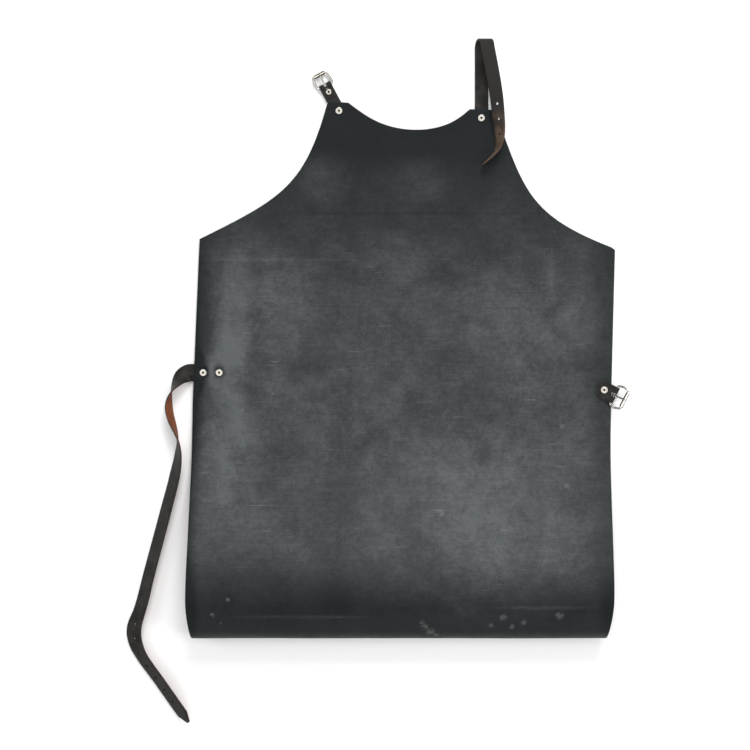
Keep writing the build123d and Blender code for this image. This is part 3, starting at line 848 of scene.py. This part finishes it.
def punch(strap, places, depth):
    """Punches round holes through a strap; places are (point, face way) in millimetres."""
    for point, face in places:
        mesh = bpy.data.meshes.new("punch")
        form = bmesh.new()
        bmesh.ops.create_cone(
            form,
            cap_ends=True,
            segments=28,
            radius1=HOLE * MM,
            radius2=HOLE * MM,
            depth=depth * MM,
        )
        form.to_mesh(mesh)
        form.free()
        cutter = bpy.data.objects.new("punch", mesh)
        bpy.context.scene.collection.objects.link(cutter)
        cutter.location = Vector(point) * MM
        cutter.rotation_euler = Vector(face).to_track_quat("Z", "Y").to_euler()
        bpy.context.view_layer.update()
        cut = strap.modifiers.new("hole", "BOOLEAN")
        cut.object = cutter
        cut.operation = "DIFFERENCE"
        cut.solver = "EXACT"
        bpy.context.view_layer.update()
        apply_modifiers(strap)
        bpy.data.objects.remove(cutter)
    return strap


def station_at(stations, distance):
    """Point and face way at a distance back from the last station."""
    gone = 0.0
    for i in range(len(stations) - 1, 0, -1):
        step = float(np.linalg.norm(stations[i][0] - stations[i - 1][0]))
        if gone + step >= distance:
            share = (distance - gone) / step
            point = stations[i][0] * (1 - share) + stations[i - 1][0] * share
            return point, stations[i][2]
        gone += step
    return stations[0][0], stations[0][2]


def build_neck_strap():
    """Neck strap: flat run from its rivet, a fold over, and the free end laid on the sheet."""
    stations = []
    x_way, up = np.array((1.0, 0, 0)), np.array((0, 0, 1.0))
    for y in np.linspace(372.0, NECK_LOOP_Y, 34):
        stations.append((np.array((NECK_X, y, NECK_Z)), x_way, -up, NECK_HALF))
    for turn in np.linspace(8, 172, 22):
        a = math.radians(turn)
        drift = 7.3 * float(smooth_step(turn, 0, 180))
        centre = np.array(
            (
                NECK_X + drift,
                NECK_LOOP_Y + NECK_LOOP * math.sin(a),
                NECK_Z + NECK_LOOP * (1 - math.cos(a)),
            )
        )
        face = np.array((0, math.sin(a), -math.cos(a)))
        stations.append((centre, x_way, face, NECK_HALF))
    upper = run_stations([p[:3] for p in NECK_UPPER], [p[3] for p in NECK_UPPER], 90, NECK_HALF)
    stations += upper
    end = upper[-1][0] + np.array((-0.73, -0.68, 0)) * 6.0
    stations.append((end, upper[-1][1], upper[-1][2], NECK_HALF))
    stations = tapered(tapered(stations, 7.0, 4.5), 6.0, 5.0, start=True)
    finish = [STRAP_GRAIN, NECK_FLESH, NECK_EDGE]
    strap = strap_mesh("neck_strap_leather", stations, NECK_THICK, finish, grain_up=False)
    punch(strap, [station_at(stations, d)[0:2] for d in (98.3, 76.4, 54.4)], 9.0)
    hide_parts("neck_strap_lower", "neck_strap_upper")
    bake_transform(strap)
    return strap


def build_waist_strap():
    """Waist strap: riveted root under the sheet, turn on its edge, long run and pointed end."""
    stations = []
    y_way, up = np.array((0, -1.0, 0)), np.array((0, 0, 1.0))
    for x in np.linspace(-218.0, -274.5, 16):
        stations.append((np.array((x, 13.6, WAIST_Z)), y_way, up, WAIST_HALF))
    centres = []
    for x, y, roll in WAIST_RUN:
        rise = WAIST_HALF * math.sin(math.radians(roll))
        rest = 0.6 + rise + 0.5 * WAIST_THICK * abs(math.cos(math.radians(roll)))
        centres.append((x, y, max(rest, WAIST_Z)))
    run = run_stations(centres, [p[2] for p in WAIST_RUN], 230, WAIST_HALF)
    stations += run
    way = np.array((0.577, -0.817, 0))
    for step in (3.5, 7.0, 10.5, 14.0):
        stations.append((run[-1][0] + way * step, run[-1][1], run[-1][2], WAIST_HALF))
    stations = tapered(tapered(stations, 15.0, 2.5), 7.0, 6.0, start=True)
    finish = [STRAP_GRAIN, WAIST_FLESH, WAIST_EDGE]
    strap = strap_mesh("waist_strap_leather", stations, WAIST_THICK, finish)
    punch(strap, [station_at(stations, 38.0 + 21.5 * k)[0:2] for k in range(7)], 9.0)
    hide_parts("waist_strap_root", "waist_strap")
    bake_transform(strap)
    return strap


# ---- Buckle tabs -------------------------------------------------------------------------------
TAB_THICK, FOLD, PLY_GAP, SLOT_BACK, SLOT_HALF = 2.1, 1.6, 0.1, 5.2, 2.1


def build_tab(name, bar, bar_z, yaw, half, lower_end, upper_end, slope_start, corner, body):
    """Leather folded round a buckle bar: under it, round its front and back over it."""
    drop = FOLD - PLY_GAP
    rise = math.asin(FOLD / math.hypot(slope_start, drop)) + math.atan2(drop, slope_start)
    mid = 0.5 * TAB_THICK
    round_off = corner * (1 - np.cos(np.linspace(0, math.pi / 2, 10)))
    line = [(-x, -FOLD - mid) for x in lower_end - round_off]
    line += [(-x, -FOLD - mid) for x in np.linspace(lower_end - corner, 0.0, 20)[1:]]
    for a in np.linspace(-90, 90 + math.degrees(rise), 18)[1:]:
        line.append(
            ((FOLD + mid) * math.cos(math.radians(a)), (FOLD + mid) * math.sin(math.radians(a)))
        )
    kink = slope_start + mid * math.tan(rise / 2)
    foot = (-kink, mid - drop)
    line += [
        tuple(np.array(line[-1]) * (1 - k) + np.array(foot) * k) for k in (0.33, 0.66, 1.0)
    ]
    line += [(-x, mid - drop) for x in np.linspace(kink, upper_end - corner, 12)[1:]]
    line += [(-x, mid - drop) for x in (upper_end - round_off)[::-1][1:]]
    line = np.array(line)
    steps = np.concatenate(([0], np.cumsum(np.linalg.norm(np.diff(line, axis=0), axis=1))))
    total = steps[-1]
    way = np.array((math.cos(math.radians(yaw)), math.sin(math.radians(yaw)), 0))
    side = np.array((-way[1], way[0], 0))
    up = np.array((0, 0, 1.0))
    origin = np.array((*bar, bar_z))
    inner = np.linspace(-SLOT_HALF, SLOT_HALF, 5)
    shares = np.concatenate(
        (np.linspace(-half, -SLOT_HALF, 8)[:-1], inner, np.linspace(SLOT_HALF, half, 8)[1:])
    )
    points, places = [], []
    for (u, w), s in zip(line, steps):
        room = min(s, total - s)
        narrow = half
        if room < corner:
            narrow = half - corner + math.sqrt(corner**2 - (corner - room) ** 2)
        for v in shares:
            across = v * narrow / half if abs(v) > SLOT_HALF else v
            points.append((origin + way * u + up * w + side * across) * MM)
            places.append((v * MM, s * MM))
    faces = []
    count = len(shares)
    for r in range(len(line) - 1):
        u = 0.5 * (line[r][0] + line[r + 1][0])
        in_slot = u > -SLOT_BACK
        for c in range(count - 1):
            if in_slot and abs(0.5 * (shares[c] + shares[c + 1])) < SLOT_HALF:
                continue
            a = r * count + c
            faces.append((a, a + 1, a + count + 1, a + count))
    finish = [STRAP_GRAIN, TAB_FLESH, TAB_EDGE]
    tab = make_object(name, points, faces, finish, [0] * len(faces), places)
    thicken(tab, TAB_THICK * MM, 0.35 * MM, centred=True, angle=60)
    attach(tab, body)
    return tab


def ahead(start, yaw, distance):
    """Plan point at a distance from start in the yaw direction."""
    return (
        start[0] + distance * math.cos(math.radians(yaw)),
        start[1] + distance * math.sin(math.radians(yaw)),
    )


def build_tabs():
    """Neck and waist buckle tabs."""
    neck_bar = ahead(ahead(CAPS[1], 118.5, 31.2), 118.5, 10.2)
    neck = build_tab(
        "neck_buckle_tab", neck_bar, 4.7, 118.5, 9.2, 50.6, 19.2, 5.2, 4.0, "neck_tab_body"
    )
    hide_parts("neck_tab")
    waist_bar = ahead(CAPS[4], -27.0, 16.0)
    waist = build_tab(
        "waist_buckle_tab", waist_bar, 10.3, -27.0, 12.2, 24.6, 24.6, 8.4, 7.0, "waist_tab_body"
    )
    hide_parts("waist_tab")


# ---- Hardware ----------------------------------------------------------------------------------
def dress_hardware():
    """Nickel on the frame's own rivets, washers and buckles."""
    for name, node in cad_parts.items():
        if "rivet" in name or "washer" in name:
            finish = RIVET_NICKEL
        elif "buckle" in name:
            finish = BUCKLE_NICKEL
        else:
            continue
        node.data.materials.clear()
        node.data.materials.append(finish)


add_camera()
add_stage()
dress_hardware()
sheet = build_sheet()
build_neck_strap()
build_waist_strap()
build_tabs()
